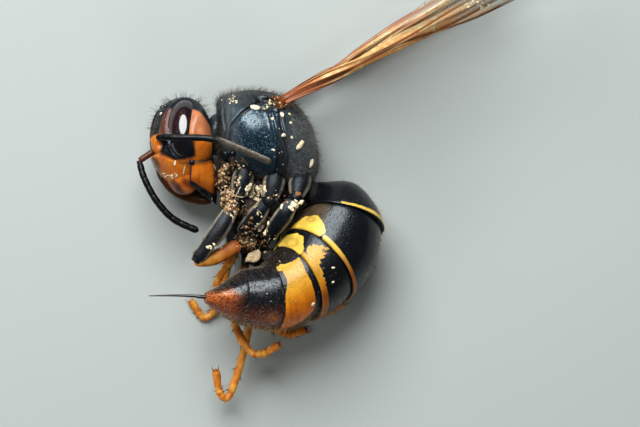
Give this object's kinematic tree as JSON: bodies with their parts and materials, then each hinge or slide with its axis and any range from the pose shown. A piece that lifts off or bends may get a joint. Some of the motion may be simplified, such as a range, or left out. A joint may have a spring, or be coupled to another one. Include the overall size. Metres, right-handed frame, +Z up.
{
  "type": "yellow-legged asian hornet",
  "caption": "Life-size hornet worker lying on its side with a curled banded abdomen, folded wings and drawn-in legs, for display as a still model.",
  "frame": {"origin": "middle of the bounding box's foot, on the floor that the animal's right side lies on", "axes": "+X from the face towards the waist and wing tips, +Y from the belly towards the back of the thorax, +Z up, out of the left flank"},
  "size_m": [0.0232, 0.0242, 0.007],
  "materials": {
    "face_cuticle": "satin orange cuticle",
    "eye": "glossy dark brown",
    "feeler_root": "satin brown",
    "black_cuticle": "blue-black, partly velvety",
    "banded_cuticle": "satin yellow-orange",
    "yellow_tarsus": "satin yellow-orange",
    "wing_membrane": "thin amber membrane",
    "sting": "glossy dark brown"
  },
  "bodies": {
    "root": {"head": "face_cuticle", "mandible_left": "face_cuticle", "mandible_right": "face_cuticle", "eye_left": "eye", "eye_right": "eye", "scape_left": "feeler_root", "scape_right": "feeler_root", "flagellum_left": "black_cuticle", "flagellum_right": "black_cuticle", "pronotum": "black_cuticle", "mesothorax": "black_cuticle", "propodeum": "black_cuticle", "gaster_1": "black_cuticle", "gaster_2": "black_cuticle", "gaster_3": "black_cuticle", "gaster_4": "banded_cuticle", "gaster_5": "black_cuticle", "gaster_6": "black_cuticle", "sting": "sting", "leg_fore_left_coxa": "black_cuticle", "leg_fore_left_femur": "black_cuticle", "leg_fore_left_tibia": "yellow_tarsus", "leg_fore_left_tarsus": "yellow_tarsus", "leg_fore_right_coxa": "black_cuticle", "leg_fore_right_femur": "black_cuticle", "leg_fore_right_tibia": "black_cuticle", "leg_fore_right_tarsus": "yellow_tarsus", "leg_mid_left_coxa": "black_cuticle", "leg_mid_left_femur": "black_cuticle", "leg_mid_left_tibia": "black_cuticle", "leg_mid_left_tarsus": "yellow_tarsus", "leg_mid_right_coxa": "black_cuticle", "leg_mid_right_femur": "black_cuticle", "leg_mid_right_tibia": "black_cuticle", "leg_mid_right_tarsus": "yellow_tarsus", "leg_hind_left_coxa": "black_cuticle", "leg_hind_left_femur": "black_cuticle", "leg_hind_left_tibia": "black_cuticle", "leg_hind_left_tarsus": "yellow_tarsus", "leg_hind_right_coxa": "black_cuticle", "leg_hind_right_femur": "black_cuticle", "leg_hind_right_tibia": "black_cuticle", "leg_hind_right_tarsus": "yellow_tarsus", "fore_wing_left": "wing_membrane", "fore_wing_right": "wing_membrane", "hind_wing_left": "wing_membrane", "hind_wing_right": "wing_membrane"}
  },
  "joints": []
}
